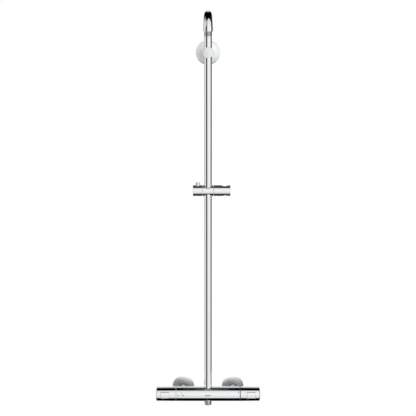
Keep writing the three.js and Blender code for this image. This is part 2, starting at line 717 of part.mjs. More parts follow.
function buildBracket() {
  const bracket = groupAt(0, 0, BRACKET_HEIGHT);
  const plateFace = -6;
  const plateRadius = 28;
  const screwOffset = 18;
  const bossEnd = -22;
  const bossRadius = 9;
  const holderRadius = 15.4;

  let plate = turned("y", [
    [0, 0],
    [0, plateRadius],
    [plateFace, plateRadius],
    [plateFace, bossRadius],
    [bossEnd, bossRadius],
    [bossEnd, 0],
  ], SIDES_LARGE);
  const sinkStart = -3.4;
  const holeRadius = 2.6;
  const sinkRadius = 4.8;
  const sink = turned("y", [
    [1, 0],
    [1, holeRadius],
    [sinkStart, holeRadius],
    [plateFace, sinkRadius],
    [plateFace - 1, sinkRadius],
    [plateFace - 1, 0],
  ], SIDES_SMALL);
  const screwTip = 34;
  const tipLength = 6;
  const shankRadius = holeRadius - 0.5;
  const screw = turned("y", [
    [screwTip, 0],
    [screwTip - tipLength, shankRadius],
    [sinkStart + EASE, shankRadius],
    [plateFace + GAP, sinkRadius - 0.5],
    [plateFace + 0.1, 0],
  ], SIDES_SMALL);
  const screws = { upper: screwOffset, lower: -screwOffset };
  for (const [word, z] of Object.entries(screws)) {
    plate = plate.subtract(sink.translate([0, 0, z]));
    place(bracket, `bracket_screw_${word}`, screw.translate([0, 0, z]), "steel");
  }
  place(bracket, "bracket_wall_plate", plate, "steel");

  const cover = coverPlate(35.7, 2.5, 16.8, 12, 15.8, 0);
  place(bracket, "bracket_escutcheon", cover, "chrome");

  // The holder: a bar across the riser, with its front edge eased.
  const front = -93.5;
  const back = -9;
  const ease = 1;
  const bushRadius = 12.3;
  const bushHalf = 9;
  const grubY = -16;
  const grubRadius = 1.9;
  const through = holderRadius + 2;
  const bossHole = bossRadius + EASE;
  const holder = turned("y", [
    [back, 0],
    [back, holderRadius],
    [front + ease, holderRadius],
    [front, holderRadius - ease],
    [front, 0],
  ], SIDES_LARGE)
    .subtract(rod("z", -through, through, bushRadius + GAP, SIDES_LARGE)
      .translate([0, -WALL_TO_AXIS, 0]))
    .subtract(rod("y", back + 1, bossEnd - 1, bossHole))
    .subtract(rod("z", -through, 0, grubRadius + GAP, SIDES_SMALL).translate([0, grubY, 0]));
  place(bracket, "bracket_holder", holder, "chrome");
  const bush = ring("z", -bushHalf, bushHalf, bushRadius, BUSH_BORE, SIDES_LARGE);
  place(bracket, "bracket_bush", bush.translate([0, -WALL_TO_AXIS, 0]), "bushing");
  const grub = rod("z", -holderRadius + 2 * GAP, -bossHole, grubRadius, SIDES_SMALL);
  place(bracket, "bracket_grub_screw", grub.translate([0, grubY, 0]), "steel");
  return bracket;
}

// ---- hand shower slider ----

function buildSlider() {
  const slider = groupAt(0, -WALL_TO_AXIS, SLIDER_HEIGHT);
  const radius = 15.7;
  const ease = 0.8;
  const bushRadius = 12.8;
  const housingStart = -16.3;
  const housingEnd = 15.6;

  const bush = ring("z", -8.5, 8.5, bushRadius, BUSH_BORE, SIDES_LARGE);
  place(slider, "slider_bush", bush, "bushing");

  const shoeRadius = 4;
  const housing = rod("x", housingStart, housingEnd, radius, SIDES_LARGE)
    .subtract(rod("z", -radius - 1, radius + 1, bushRadius + GAP, SIDES_LARGE))
    .subtract(rod("x", housingStart - 1, -bushRadius + 1, shoeRadius + GAP, SIDES_SMALL));
  place(slider, "slider_housing", housing, "chrome");

  // The lock housing is a cup whose mouth faces the riser.
  const lockStart = -43.5;
  const lockEnd = housingStart - GAP;
  const cupFloor = -40;
  const cupRadius = 9;
  const buttonX = -29.5;
  const buttonRadius = 6.6;
  const buttonHole = rod("z", 5, radius + 1, buttonRadius + GAP, SIDES);
  const lockHousing = turned("x", [
    [lockStart, 0],
    [lockStart, radius - ease],
    [lockStart + ease, radius],
    [lockEnd, radius],
    [lockEnd, cupRadius],
    [cupFloor, cupRadius],
    [cupFloor, 0],
  ], SIDES_LARGE).subtract(buttonHole.translate([buttonX, 0, 0]));
  place(slider, "slider_lock_housing", lockHousing, "chrome");

  const buttonFoot = 2;
  const buttonNeckEnd = 8;
  const buttonNeck = 4.4;
  const buttonTop = 24.2;
  place(slider, "slide_lock_button", turned("z", [
    [buttonFoot, 0],
    [buttonFoot, buttonNeck],
    [buttonNeckEnd, buttonNeck],
    [buttonNeckEnd, buttonRadius],
    [buttonTop - ease, buttonRadius],
    [buttonTop, buttonRadius - ease],
    [buttonTop, 0],
  ], SIDES).translate([buttonX, 0, 0]), "chrome");
  const coil = spring("z", -8, buttonFoot - GAP, 3.6, 0.5, 5);
  place(slider, "lock_spring", coil.translate([buttonX, 0, 0]), "steel");
  place(slider, "brake_shoe", rod("x", -23.8, -13.2, shoeRadius, SIDES_SMALL), "bushing");

  const flangeStart = housingEnd + GAP;
  const flangeEnd = 17.4;
  const flangeRadius = 11;
  const studRadius = 6;
  const studEnd = 30;
  place(slider, "holder_pivot", turned("x", [
    [flangeStart, 0],
    [flangeStart, flangeRadius],
    [flangeEnd, flangeRadius],
    [flangeEnd, studRadius],
    [studEnd, studRadius],
    [studEnd, 0],
  ]), "steel");

  const barrelStart = flangeStart + GAP;
  const barrelEnd = 64.4;
  const recessEnd = 19.4;
  const barrel = turned("x", [
    [barrelStart, radius],
    [barrelEnd - ease, radius],
    [barrelEnd, radius - ease],
    [barrelEnd, 0],
    [studEnd + EASE, 0],
    [studEnd + EASE, studRadius + EASE],
    [recessEnd, studRadius + EASE],
    [recessEnd, flangeRadius + EASE],
    [barrelStart, flangeRadius + EASE],
  ], SIDES_LARGE);
  // The socket tapers down, like the cone of a hand shower's grip.
  const socketX = 48.8;
  const socketHalf = 17;
  const socket = turned("z", [
    [-socketHalf, 0],
    [-socketHalf, 8.86],
    [socketHalf, 11.34],
    [socketHalf, 0],
  ], SIDES).translate([socketX, 0, 0]);
  place(slider, "holder_barrel", barrel.subtract(socket), "chrome");
  return slider;
}

// ---- the whole column ----

const column = new THREE.Group();
column.add(
  buildMixer(),
  buildInlet(-1),
  buildInlet(1),
  buildHandle(-1, "temperature", [-150, 40], 84),
  buildHandle(1, "flow", [-90, 90], 66),
  buildValveInternals(),
  buildRiser(),
  buildArm(),
  buildBracket(),
  buildSlider(),
);

export default column;
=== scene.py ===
# %% [markdown]
# # A chrome shower column, piece by piece
#
# The object hangs on a bathroom wall: a thermostatic mixer at the bottom, a riser tube, a sliding
# holder for a hand shower, a wall bracket, and an arm that brings the outlet out over the bather.
# Nearly everything is brass that was turned, bent or cast, then polished and chrome plated.
#
# The mechanical model is already packed and can't be moved. This lesson builds the fine, smooth
# surfaces around it, one part at a time, and gives each part the finish that its material has.

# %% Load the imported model
import json
import math

import bmesh
import bpy
from mathutils import Matrix, Vector

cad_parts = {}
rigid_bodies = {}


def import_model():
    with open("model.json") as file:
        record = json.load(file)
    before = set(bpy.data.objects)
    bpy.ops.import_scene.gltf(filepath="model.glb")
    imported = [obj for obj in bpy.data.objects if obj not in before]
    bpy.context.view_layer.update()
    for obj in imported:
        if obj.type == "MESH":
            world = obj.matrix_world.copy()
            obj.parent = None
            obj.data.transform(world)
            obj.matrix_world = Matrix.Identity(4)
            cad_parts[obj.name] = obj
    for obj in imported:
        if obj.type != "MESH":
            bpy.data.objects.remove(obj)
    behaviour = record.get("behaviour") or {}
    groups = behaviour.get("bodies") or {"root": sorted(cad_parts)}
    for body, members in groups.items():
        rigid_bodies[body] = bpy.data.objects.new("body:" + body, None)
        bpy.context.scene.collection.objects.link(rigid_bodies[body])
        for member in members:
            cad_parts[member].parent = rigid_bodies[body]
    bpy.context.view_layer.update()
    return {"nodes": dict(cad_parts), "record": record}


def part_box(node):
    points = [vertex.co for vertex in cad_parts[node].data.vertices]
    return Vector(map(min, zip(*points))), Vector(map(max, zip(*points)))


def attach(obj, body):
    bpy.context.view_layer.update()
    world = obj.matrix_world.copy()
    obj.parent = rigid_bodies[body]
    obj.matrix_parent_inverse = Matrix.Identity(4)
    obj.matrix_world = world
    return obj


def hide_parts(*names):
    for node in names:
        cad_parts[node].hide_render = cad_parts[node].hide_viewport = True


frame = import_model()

# %% [markdown]
# Blender works in metres, but a fitter thinks in millimetres, so every outline below is written in
# millimetres and one constant converts it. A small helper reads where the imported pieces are, so
# that a place is measured once and never typed in twice.

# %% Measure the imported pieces
MM = 0.001


def measure(node):
    """The lowest corner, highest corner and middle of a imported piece, in millimetres."""
    low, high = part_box(node)
    return low / MM, high / MM, (low + high) / 2 / MM


tube_low, tube_high, tube_middle = measure("riser_tube")
RISER_Y = tube_middle.y
RISER_RADIUS = (tube_high.x - tube_low.x) / 2
BRACKET_Z = measure("bracket_holder")[2].z
SLIDER_Z = measure("slider_bush")[2].z
BUTTON_X = measure("slide_lock_button")[2].x
INLET_X = measure("right_union_nut")[2].x
OUTLET_Y = measure("arm_outlet_nipple")[2].y
print(f"riser: radius {RISER_RADIUS:.1f} mm, {RISER_Y:.0f} mm off the wall")
print(f"bracket at {BRACKET_Z:.0f} mm, slider at {SLIDER_Z:.0f} mm, arm outlet at y = {OUTLET_Y:.0f} mm")

# %% [markdown]
# ## The camera
#
# The viewer stands three metres in front of the wall with the eyes about level with the bracket,
# and looks a little down, so that the whole column fits. A long lens keeps the tube straight.

# %% Camera
camera_data = bpy.data.cameras.new("camera")
camera = bpy.data.objects.new("camera", camera_data)
bpy.context.scene.collection.objects.link(camera)
bpy.context.scene.camera = camera
camera.location = (0, -3.060, 1.023)
LOOK_DOWN = 8.812
camera.rotation_euler = (math.radians(90 - LOOK_DOWN), 0, 0)
camera_data.sensor_width = 36
camera_data.lens = 90.1
print(f"camera {-camera.location.y:.2f} m in front, looking {LOOK_DOWN} degrees down")

# %% [markdown]
# ## Studio light
#
# Chrome has no colour of its own: it only shows what stands around it. A plain white room would
# make it vanish against a white background. Product photographers put large white panels in
# front and leave dark gaps beside and above them, and the gaps draw the dark lines that tell the
# eye "round and polished". Here the same thing is done with the world's light. How far a
# direction swings sideways from the viewer runs through one ramp, how far it swings up or down
# runs through another, and their product is the room that the chrome reflects. Camera rays see
# plain white instead.

# %% World light
def set_ramp(node, stops):
    """Give a colour ramp its stops, each a place from 0 to 1 and a grey level."""
    ramp = node.color_ramp
    while len(ramp.elements) > 1:
        ramp.elements.remove(ramp.elements[-1])
    ramp.elements[0].position = stops[0][0]
    ramp.elements[0].color = (*[stops[0][1]] * 3, 1)
    for place, grey in stops[1:]:
        ramp.elements.new(place).color = (*[grey] * 3, 1)


world = bpy.data.worlds.new("studio")
bpy.context.scene.world = world
world.use_nodes = True
nodes, links = world.node_tree.nodes, world.node_tree.links
nodes.clear()
direction = nodes.new("ShaderNodeTexCoord")
split = nodes.new("ShaderNodeSeparateXYZ")
links.new(direction.outputs["Generated"], split.inputs["Vector"])
toward = nodes.new("ShaderNodeMath")
toward.operation = "MULTIPLY"
toward.inputs[1].default_value = -1
links.new(split.outputs["Y"], toward.inputs[0])


def swing(part, stops):
    """The grey of a direction by its angle from the viewer, -180 to 180 degrees, towards an axis."""
    angle = nodes.new("ShaderNodeMath")
    angle.operation = "ARCTAN2"
    links.new(split.outputs[part], angle.inputs[0])
    links.new(toward.outputs[0], angle.inputs[1])
    turn = nodes.new("ShaderNodeMapRange")
    turn.inputs["From Min"].default_value = -math.pi
    turn.inputs["From Max"].default_value = math.pi
    links.new(angle.outputs[0], turn.inputs["Value"])
    ramp = nodes.new("ShaderNodeValToRGB")
    set_ramp(ramp, [((degrees + 180) / 360, grey) for degrees, grey in stops])
    links.new(turn.outputs["Result"], ramp.inputs["Fac"])
    return ramp.outputs["Color"]


def height(stops):
    """A grey by how steeply a direction rises, from -1 straight down to 1 straight up."""
    rise = nodes.new("ShaderNodeMapRange")
    rise.inputs["From Min"].default_value = -1
    links.new(split.outputs["Z"], rise.inputs["Value"])
    ramp = nodes.new("ShaderNodeValToRGB")
    set_ramp(ramp, [((place + 1) / 2, grey) for place, grey in stops])
    links.new(rise.outputs["Result"], ramp.inputs["Fac"])
    return ramp.outputs["Color"]


def product(first, second):
    """Two greys multiplied."""
    both = nodes.new("ShaderNodeMix")
    both.data_type = "RGBA"
    both.blend_type = "MULTIPLY"
    both.inputs["Factor"].default_value = 1
    links.new(first, both.inputs["A"])
    links.new(second, both.inputs["B"])
    return both.outputs["Result"]


def opened(gap, factor):
    """A gap that is filled with white where the factor is 1."""
    filled = nodes.new("ShaderNodeMix")
    filled.data_type = "RGBA"
    filled.inputs["B"].default_value = (1, 1, 1, 1)
    links.new(factor, filled.inputs["Factor"])
    links.new(gap, filled.inputs["A"])
    return filled.outputs["Result"]


panels = swing("X", [
    (-180, 1.0), (-160, 1.0), (-150, 0.42), (-120, 0.42), (-108, 0.78), (-62, 0.80), (-27, 0.60),
    (-25, 0.50), (-8, 0.90), (0, 1.0), (62, 1.0), (80, 0.95), (86, 0.05), (150, 0.05), (160, 1.0), (180, 1.0),
])
strip = swing("X", [(-180, 1.0), (-62, 1.0), (-58, 0.0), (-28, 0.0), (-25, 1.0), (180, 1.0)])
strip_ends = height([(-1, 1.0), (-0.46, 1.0), (-0.36, 0.0), (0.30, 0.0), (0.52, 0.7), (0.7, 0.8), (1, 1.0)])
gaps = swing("Z", [
    (-180, 1.0), (-148, 1.0), (-138, 0.0), (-60, 0.0), (-54, 0.76), (-31, 0.81), (-15, 0.90), (0, 0.95),
    (18, 0.98), (33, 0.91), (46, 0.85), (61, 0.80), (70, 0.0), (165, 0.0), (173, 1.0), (180, 1.0),
])
sideways = nodes.new("ShaderNodeMath")
sideways.operation = "ABSOLUTE"
links.new(split.outputs["X"], sideways.inputs[0])
open_side = nodes.new("ShaderNodeMapRange")
open_side.inputs["From Min"].default_value = 0.60
open_side.inputs["From Max"].default_value = 0.85
links.new(sideways.outputs[0], open_side.inputs["Value"])
room = product(product(panels, opened(gaps, open_side.outputs["Result"])), opened(strip, strip_ends))
rays = nodes.new("ShaderNodeLightPath")
backdrop = nodes.new("ShaderNodeBackground")
links.new(opened(room, rays.outputs["Is Camera Ray"]), backdrop.inputs["Color"])
world_out = nodes.new("ShaderNodeOutputWorld")
links.new(backdrop.outputs["Background"], world_out.inputs["Surface"])
bpy.context.scene.view_settings.view_transform = "Standard"
print("world: white to the camera, panels and gaps to the chrome")

# %% [markdown]
# ## Floor
#
# The mixer of a shower hangs a little over a metre above the floor. A pale round of floor lies
# there, below the frame of the main view. It is kept out of the reflections, so that the gap under
# the panels stays dark, and it isn't part of the object.

# %% Floor
FLOOR_Z = -1.10
floor_bm = bmesh.new()
bmesh.ops.create_circle(floor_bm, cap_ends=True, segments=96, radius=2.2)
floor_mesh = bpy.data.meshes.new("floor")
floor_bm.to_mesh(floor_mesh)
floor_bm.free()
floor = bpy.data.objects.new("floor", floor_mesh)
bpy.context.scene.collection.objects.link(floor)
floor.location = (0, 0, FLOOR_Z)
floor.visible_glossy = False
floor_paint = bpy.data.materials.new("floor_paint")
floor_paint.use_nodes = True
floor_shader = floor_paint.node_tree.nodes["Principled BSDF"]
floor_shader.inputs["Base Color"].default_value = (0.90, 0.90, 0.89, 1)
floor_shader.inputs["Roughness"].default_value = 0.9
floor_mesh.materials.append(floor_paint)

print(f"floor {-FLOOR_Z:.2f} m below the inlets")

# %% [markdown]
# Three small panels complete the studio. One stands behind the mixer and one lies over its cover
# plates: they put the pale line along the mixer's upper edge, which parts the dark gap from the
# white background. The third does the same for the top of the arm. They shine one way only and
# the camera doesn't see them.

# %% Helper: a light panel
def panel(name, width, height, at, facing, glow):
    """A one-sided glowing panel, as bright in a mirror as its glow."""
    data = bpy.data.lights.new(name, "AREA")
    data.shape = "RECTANGLE"
    data.size = width
    data.size_y = height
    data.energy = math.pi * width * height * glow
    lamp = bpy.data.objects.new(name, data)
    bpy.context.scene.collection.objects.link(lamp)
    lamp.location = at
    lamp.rotation_euler = Vector(facing).to_track_quat("-Z", "Y").to_euler()
    lamp.visible_camera = False
    return lamp


panel("mixer_back_panel", 0.52, 0.127, (0, 0.030, 0.0435), (0, -1, 0), 0.58)
panel("mixer_top_panel", 0.52, 0.065, (0, -0.0025, 0.107), (0, 0, -1), 0.58)
panel("arm_back_panel", 0.20, 0.47, (0, 0.035, 1.365), (0, -1, 0), 0.42)
panel("elbow_front_panel", 1.10, 0.118, (0.59, -0.630, 1.658), (0, 0.203, -0.565), 0.80)
over = panel("overhead_panel", 1.6, 1.6, (0.9, -1.9, 2.5), (-0.9, 1.9, -1.5), 4.1)
left = panel("bracket_left_panel", 1.6, 1.6, (-1.5, -1.5, 2.2), (1.5, 1.5, -1.2), 2.5)
rear = panel("inlet_rear_panel", 0.6, 0.2, (0.03, 0.24, 0.46), (-0.03, -0.25, -0.435), 78)
for lamp in (over, left, rear):
    lamp.visible_glossy = False
print("seven panels")

# %% [markdown]
# ## Finishes
#
# A polished plated surface is a metal with very little roughness. What keeps it from looking like
# plain computer chrome is that nothing is perfectly even: plating follows the polishing wheel in
# faint waves, and dried water and wiping leave a thin film that is a touch rougher in places.
# Both are noise, read from the object's own coordinates, so they stay put when the piece moves.

# %% Helper: a finish with a noisy tone, roughness and surface
def finish(name, tones, roughness, metallic=0.0, grain=60.0, bump=0.0, bump_grain=400.0, stretch=(1, 1, 1)):
    """A principled material whose tone and roughness wander between two values."""
    made = bpy.data.materials.new(name)
    made.use_nodes = True
    tree = made.node_tree
    shader = tree.nodes["Principled BSDF"]
    shader.inputs["Metallic"].default_value = metallic
    place = tree.nodes.new("ShaderNodeTexCoord")
    mapping = tree.nodes.new("ShaderNodeMapping")
    mapping.inputs["Scale"].default_value = stretch
    tree.links.new(place.outputs["Object"], mapping.inputs["Vector"])
    noise = tree.nodes.new("ShaderNodeTexNoise")
    noise.inputs["Scale"].default_value = grain
    noise.inputs["Detail"].default_value = 4
    tree.links.new(mapping.outputs["Vector"], noise.inputs["Vector"])
    tone = tree.nodes.new("ShaderNodeMix")
    tone.data_type = "RGBA"
    tone.inputs["A"].default_value = (*tones[0], 1)
    tone.inputs["B"].default_value = (*tones[1], 1)
    tree.links.new(noise.outputs["Fac"], tone.inputs["Factor"])
    tree.links.new(tone.outputs["Result"], shader.inputs["Base Color"])
    rough = tree.nodes.new("ShaderNodeMapRange")
    rough.inputs["From Min"].default_value = 0.3
    rough.inputs["From Max"].default_value = 0.7
    rough.inputs["To Min"].default_value = roughness[0]
    rough.inputs["To Max"].default_value = roughness[1]
    tree.links.new(noise.outputs["Fac"], rough.inputs["Value"])
    tree.links.new(rough.outputs["Result"], shader.inputs["Roughness"])
    if bump:
        surface = tree.nodes.new("ShaderNodeTexNoise")
        surface.inputs["Scale"].default_value = bump_grain
        surface.inputs["Detail"].default_value = 3
        tree.links.new(mapping.outputs["Vector"], surface.inputs["Vector"])
        relief = tree.nodes.new("ShaderNodeBump")
        relief.inputs["Strength"].default_value = bump
        relief.inputs["Distance"].default_value = 0.1 * MM
        tree.links.new(surface.outputs["Fac"], relief.inputs["Height"])
        tree.links.new(relief.outputs["Normal"], shader.inputs["Normal"])
    print(f"finish {name}: roughness {roughness[0]} to {roughness[1]}")
    return made


CHROME = finish("polished_chrome", [(0.93, 0.94, 0.95), (0.87, 0.885, 0.90)], (0.02, 0.07),
                metallic=1, grain=35, bump=0.06, bump_grain=25)
SATIN = finish("satin_chrome", [(0.95, 0.96, 0.97), (0.91, 0.92, 0.935)], (0.46, 0.54),
               metallic=0.5, grain=90, bump=0.04, bump_grain=1200)
# The inlet covers get a copy of the satin chrome at about half its tone: painted shade, for the shade of the mixer in
# front of them.
SHADED_SATIN = finish("shaded_satin_chrome", [(0.47, 0.475, 0.485), (0.41, 0.415, 0.425)], (0.46, 0.58),
                    metallic=0.5, grain=60, bump=0.04, bump_grain=1200)
# The thread chrome's darker tone is painted shade, for the shade in the thread grooves; its rougher, bumpier surface
# is real.
GROOVE_SHADED_CHROME = finish("groove_shaded_chrome", [(0.74, 0.75, 0.765), (0.62, 0.63, 0.645)], (0.16, 0.28),
                       metallic=1, grain=150, bump=0.10, bump_grain=900)
BRASS = finish("turned_brass", [(0.80, 0.62, 0.30), (0.62, 0.46, 0.22)], (0.22, 0.42),
               metallic=1, grain=220, bump=0.3, bump_grain=900)
STEEL = finish("bright_steel", [(0.70, 0.71, 0.73), (0.56, 0.57, 0.59)], (0.20, 0.38),
               metallic=1, grain=300, bump=0.2, bump_grain=1500, stretch=(1, 1, 6))
COPPER = finish("turned_copper", [(0.78, 0.45, 0.30), (0.60, 0.31, 0.20)], (0.25, 0.4),
                metallic=1, grain=250, bump=0.2, bump_grain=900)
RUBBER = finish("black_rubber", [(0.035, 0.035, 0.037), (0.02, 0.02, 0.021)], (0.6, 0.85),
                grain=500, bump=0.4, bump_grain=2500)
WHITE_PLASTIC = finish("white_acetal", [(0.84, 0.84, 0.81), (0.78, 0.78, 0.75)], (0.35, 0.5),
                       grain=150, bump=0.15, bump_grain=1800)
DARK_PLASTIC = finish("dark_acetal", [(0.07, 0.072, 0.078), (0.045, 0.046, 0.05)], (0.35, 0.55),
                      grain=200, bump=0.2, bump_grain=1800)
CERAMIC = finish("lapped_ceramic", [(0.93, 0.91, 0.86), (0.88, 0.86, 0.80)], (0.12, 0.25), grain=300)
RED_ENAMEL = finish("red_enamel", [(0.50, 0.10, 0.10), (0.42, 0.07, 0.07)], (0.25, 0.4), grain=800)
GREY_ENAMEL = finish("grey_enamel", [(0.22, 0.23, 0.25), (0.16, 0.17, 0.18)], (0.3, 0.45), grain=800)

# %% [markdown]
# ## Turning on the lathe
#
# Almost every piece was turned, so its outline is drawn once and spun round its axis. Three small
# things make a turned piece look machined. Its corners are eased by bevelling the outline's own
# points, before the spin. Each long straight run gets an extra point close to both ends, so that
# smooth shading stays inside the eased corner and the run itself stays true. And the last ring is
# merged with the first, so that no seam is left.

# %% Helper: turn an outline
SPIN_STEPS = 96
SUPPORT = 0.35  # how close to a corner the extra point lies


def turned(outline, steps=SPIN_STEPS):
    """Spin an outline of (along the axis, radius, eased corner) about Z."""
    bm = bmesh.new()
    points = [bm.verts.new((radius, 0, along)) for along, radius, _ in outline]
    ends = points[1:] + points[:1] if outline[0][1] > 0 else points[1:]
    for first, second in zip(points, ends):
        bm.edges.new((first, second))
    for corner, (_, _, ease) in zip(points, outline):
        if ease:
            bmesh.ops.bevel(bm, geom=[corner], offset=ease, offset_type="OFFSET", segments=4,
                            profile=0.5, affect="VERTICES", material=-1)
    for edge in [edge for edge in bm.edges if edge.calc_length() > 4 * SUPPORT]:
        near, far = edge.verts
        other = bmesh.utils.edge_split(edge, near, SUPPORT / edge.calc_length())[0]
        long = max(edge, other, key=lambda part: part.calc_length())
        bmesh.utils.edge_split(long, far, SUPPORT / long.calc_length())
    bmesh.ops.spin(bm, geom=bm.verts[:] + bm.edges[:], cent=(0, 0, 0), axis=(0, 0, 1), dvec=(0, 0, 0),
                   angle=math.tau, steps=steps, use_merge=True, use_duplicate=False)
    bmesh.ops.remove_doubles(bm, verts=bm.verts[:], dist=1e-4)
    bmesh.ops.recalc_face_normals(bm, faces=bm.faces[:])
    return bm


def rod(start, end, radius, ease=0.0, steps=SPIN_STEPS):
    return turned([(start, 0, 0), (start, radius, ease), (end, radius, ease), (end, 0, 0)], steps)


def sleeve(start, end, outer, inner, ease=0.0, steps=SPIN_STEPS):
    return turned([(start, outer, ease), (end, outer, ease), (end, inner, ease / 2),
                   (start, inner, ease / 2)], steps)


def arc(along, radius, size, first, last, count):
    """Points of a round stretch of an outline; 0 degrees points along the axis."""
    points = []
    for i in range(count + 1):
        a = math.radians(first + (last - first) * i / count)
        points.append((along + size * math.cos(a), radius + size * math.sin(a), 0))
    return points


print("turned pieces have", SPIN_STEPS, "faces round")

# %% [markdown]
# ## Cutting and placing
#
# A window or a drilled hole is cut with a Boolean, the way a mill does it. The cut leaves odd
# shaped faces on a round wall, and smooth shading would show them as dents. So after a cut the
# wall's normals are set square to its axis again, exactly.

# %% Helpers: cut, place and true up
LAY = {
    "z": Matrix.Identity(4),
    "y": Matrix.Rotation(math.radians(-90), 4, "X"),
    "x": Matrix.Rotation(math.radians(90), 4, "Y"),
    "-x": Matrix.Rotation(math.radians(-90), 4, "Y"),
}
scene_objects = bpy.context.scene.collection.objects


def laid(bm, axis="z", at=(0, 0, 0)):
    """Lay a shape that was made along Z along another axis, and move it."""
    bmesh.ops.transform(bm, matrix=Matrix.Translation(at) @ LAY[axis], verts=bm.verts[:])
    return bm


def temporary(bm):
    mesh = bpy.data.meshes.new("temporary")
    bm.to_mesh(mesh)
    bm.free()
    held = bpy.data.objects.new("temporary", mesh)
    scene_objects.link(held)
    return held


def combined(bm, operation, *tools):
    """Cut tools out of a shape (DIFFERENCE), or keep what they share (INTERSECT)."""
    held = temporary(bm)
    cutters = [temporary(tool) for tool in tools]
    for cutter in cutters:
        step = held.modifiers.new("cut", "BOOLEAN")
        step.operation = operation
        step.solver = "EXACT"
        step.object = cutter
    depsgraph = bpy.context.evaluated_depsgraph_get()
    result = bmesh.new()
    result.from_mesh(held.evaluated_get(depsgraph).to_mesh())
    for used in [held, *cutters]:
        mesh = used.data
        bpy.data.objects.remove(used)
        bpy.data.meshes.remove(mesh)
    bmesh.ops.remove_doubles(result, verts=result.verts[:], dist=1e-4)
    bmesh.ops.dissolve_degenerate(result, edges=result.edges[:], dist=1e-4)
    return result


def piece(name, bm, body, material, replaces=(), sharp=35):
    """Make the finished object from a shape in millimetres, and let it ride on its body."""
    bmesh.ops.transform(bm, matrix=Matrix.Scale(MM, 4), verts=bm.verts[:])
    mesh = bpy.data.meshes.new(name)
    bm.to_mesh(mesh)
    bm.free()
    mesh.shade_smooth()
    mesh.set_sharp_from_angle(angle=math.radians(sharp))
    mesh.materials.append(material)
    made = bpy.data.objects.new(name, mesh)
    scene_objects.link(made)
    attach(made, body)
    if replaces:
        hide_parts(*replaces)
    print(f"{name}: {len(mesh.polygons)} faces")
    return made


def true_up(made, walls):
    """Set exact normals on round walls: (axis letter, point on the axis, radius) in millimetres."""
    mesh = made.data
    normals = [Vector((0, 0, 0)) for _ in mesh.loops]
    for face in mesh.polygons:
        for axis, point, radius in walls:
            keep = Vector([letter != axis for letter in "xyz"])
            arm = (face.center / MM - Vector(point)) * keep
            size = arm.length
            if not size or abs(size - radius) > 0.7 or abs(face.normal.dot(arm / size)) < 0.985:
                continue
            side = 1 if face.normal.dot(arm) > 0 else -1
            for index in face.loop_indices:
                out = (mesh.vertices[mesh.loops[index].vertex_index].co / MM - Vector(point)) * keep
                normals[index] = out.normalized() * side
            break
    mesh.normals_split_custom_set(normals)
    return made


print("a Boolean cuts, and the round walls are trued up afterwards")

# %% [markdown]
# ## Pipe threads
#
# Both outlets and both wall unions end in a G1/2 pipe thread: 14 turns to the inch, almost 21 mm
# across. One tooth's outline, exactly one pitch long, is spun with a rise of one pitch a turn, so
# each turn's end meets the next one's start. Two planes trim the helix, and each trimmed edge is
# bridged to a ring inside, which makes the thread a closed sleeve.

# %% Helper: a pipe thread
THREAD_PITCH = 25.4 / 14
THREAD_MAJOR = 10.45
THREAD_MINOR = 9.35


def thread(start, end, major=THREAD_MAJOR, minor=THREAD_MINOR, pitch=THREAD_PITCH, core=None, steps=48):
    """A helical thread sleeve along Z between two heights."""
    bm = bmesh.new()
    tooth = [(minor, 0), (minor, 0.10), (major, 0.42), (major, 0.56), (minor, 0.90), (minor, 1)]
    points = [bm.verts.new((radius, 0, start + (place - 1) * pitch)) for radius, place in tooth]
    for first, second in zip(points, points[1:]):
        bm.edges.new((first, second))
    turns = math.ceil((end - start) / pitch) + 2
    bmesh.ops.spin(bm, geom=bm.verts[:] + bm.edges[:], cent=(0, 0, 0), axis=(0, 0, 1),
                   dvec=(0, 0, pitch / steps), angle=math.tau * turns, steps=steps * turns,
                   use_merge=False, use_duplicate=False)
    bmesh.ops.remove_doubles(bm, verts=bm.verts[:], dist=1e-3)
    for height, facing in ((start, -1), (end, 1)):
        bmesh.ops.bisect_plane(bm, geom=bm.verts[:] + bm.edges[:] + bm.faces[:], dist=1e-4,
                               plane_co=(0, 0, height), plane_no=(0, 0, facing), clear_outer=True)
    core = core or minor - 0.4
    inner = {}
    for height in (start, end):
        rim = [edge for edge in bm.edges if edge.is_boundary
               and all(abs(vert.co.z - height) < 1e-3 for vert in edge.verts)]
        ring = bmesh.ops.create_circle(bm, segments=steps, radius=core,
                                       matrix=Matrix.Translation((0, 0, height)))["verts"]
        ring_edges = list({edge for vert in ring for edge in vert.link_edges})
        bmesh.ops.bridge_loops(bm, edges=rim + ring_edges)
        inner[height] = ring_edges
    bmesh.ops.bridge_loops(bm, edges=inner[start] + inner[end])
    bmesh.ops.recalc_face_normals(bm, faces=bm.faces[:])
    return bm


def joined(*shapes):
    """Several closed shapes in one bmesh."""
    whole = shapes[0]
    for extra in shapes[1:]:
        mesh = bpy.data.meshes.new("extra")
        extra.to_mesh(mesh)
        extra.free()
        whole.from_mesh(mesh)
        bpy.data.meshes.remove(mesh)
    return whole


print(f"thread pitch {THREAD_PITCH:.3f} mm")

# %% [markdown]
# ## The riser
#
# A plain 22 mm tube. Only its ends need care: the wall is a millimetre thick and the cut edges are
# broken with a file. The ring above it is where the arm turns.

# %% Riser tube and swivel ring
RISER_AT = (0, RISER_Y, 0)
tube = laid(sleeve(tube_low.z, tube_high.z, RISER_RADIUS, RISER_RADIUS - 1, 0.25), "z", RISER_AT)
piece("riser_tube_polished", tube, "root", CHROME, ["riser_tube"])
ring_low, ring_high, ring_middle = measure("swivel_ring")
ring = laid(sleeve(ring_low.z, ring_high.z, 11.6, 10.1, 0.6), "z", RISER_AT)
piece("swivel_ring_moulded", ring, "root", DARK_PLASTIC, ["swivel_ring"])

# %% [markdown]
# ## The overhead arm
#
# The arm is the same tube, bent through a right angle and carried straight out. A bend is a spin of
# the tube's own section, a circle, about the bend's centre; a straight run is an extrusion. Both
# walls are made this way, and the two pairs of end circles are bridged.

# %% Arm tube
arm_low, arm_high, arm_middle = measure("arm_tube")
ARM_Z = arm_high.z - RISER_RADIUS
REAR_BEND = 36
BEND_STEPS = 32


